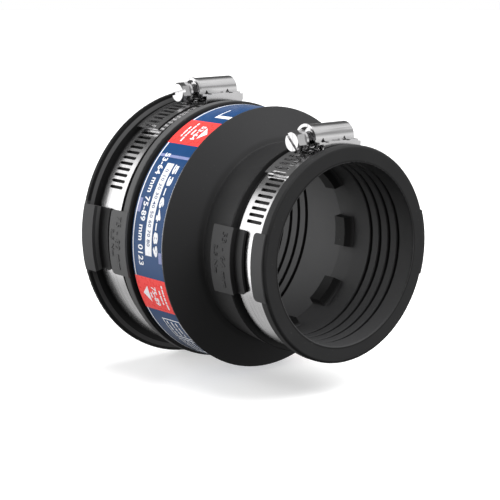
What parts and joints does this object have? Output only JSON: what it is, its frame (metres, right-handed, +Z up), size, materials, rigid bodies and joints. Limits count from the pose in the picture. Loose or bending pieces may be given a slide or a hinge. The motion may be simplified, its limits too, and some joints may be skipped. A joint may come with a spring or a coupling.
{
  "type": "pipe coupling",
  "caption": "Stepped flexible rubber pipe coupling that joins a wide pipe to a narrower one, with a worm-drive band clamp on each end.",
  "frame": {"origin": "on the pipe axis, in the plane where the small pipe meets its stops", "axes": "+X along the pipe axis towards the small end, +Z up with both clamp housings on top"},
  "size_m": [0.0929, 0.1066, 0.1123],
  "materials": {
    "rubber_black": "satin moulded",
    "label_print": "gloss printed film",
    "strip_steel": "bright rolled stainless strip",
    "housing_steel": "bright pressed stainless",
    "screw_steel": "bright turned stainless"
  },
  "bodies": {
    "sleeve": {"rubber_sleeve": "rubber_black", "printed_label": "label_print"},
    "large_clamp": {"large_band_strip": "strip_steel", "large_housing_saddle": "housing_steel", "large_housing_cover": "housing_steel"},
    "large_tail": {"large_band_tail": "strip_steel"},
    "large_screw": {"large_worm_screw": "screw_steel"},
    "small_clamp": {"small_band_strip": "strip_steel", "small_housing_saddle": "housing_steel", "small_housing_cover": "housing_steel"},
    "small_tail": {"small_band_tail": "strip_steel"},
    "small_screw": {"small_worm_screw": "screw_steel"}
  },
  "joints": [
    {"name": "large_clamp_turn", "type": "hinge", "parent": "sleeve", "child": "large_clamp", "pos_m": [-0.0495, 0, 0], "axis": [1, 0, 0], "range_deg": [-30, 30]},
    {"name": "large_screw_turn", "type": "hinge", "parent": "large_clamp", "child": "large_screw", "pos_m": [-0.0495, 0.0015, 0.05365], "axis": [0, 1, 0], "range_deg": [-360, 720]},
    {"name": "large_tail_travel", "type": "hinge", "parent": "large_clamp", "child": "large_tail", "pos_m": [-0.0495, 0, 0], "axis": [1, 0, 0], "range_deg": [-2.86, 5.71]},
    {"name": "small_clamp_turn", "type": "hinge", "parent": "sleeve", "child": "small_clamp", "pos_m": [0.02, 0, 0], "axis": [1, 0, 0], "range_deg": [-25, 25]},
    {"name": "small_screw_turn", "type": "hinge", "parent": "small_clamp", "child": "small_screw", "pos_m": [0.02, -0.0008, 0.04195], "axis": [0, 0.9997, 0.0262], "range_deg": [-360, 720]},
    {"name": "small_tail_travel", "type": "hinge", "parent": "small_clamp", "child": "small_tail", "pos_m": [0.02, 0, 0], "axis": [1, 0, 0], "range_deg": [-3.73, 7.45]}
  ],
  "couplings": [
    {"joint": "large_tail_travel", "follows": "large_screw_turn", "ratio": 0.007926},
    {"joint": "small_tail_travel", "follows": "small_screw_turn", "ratio": 0.010335}
  ]
}
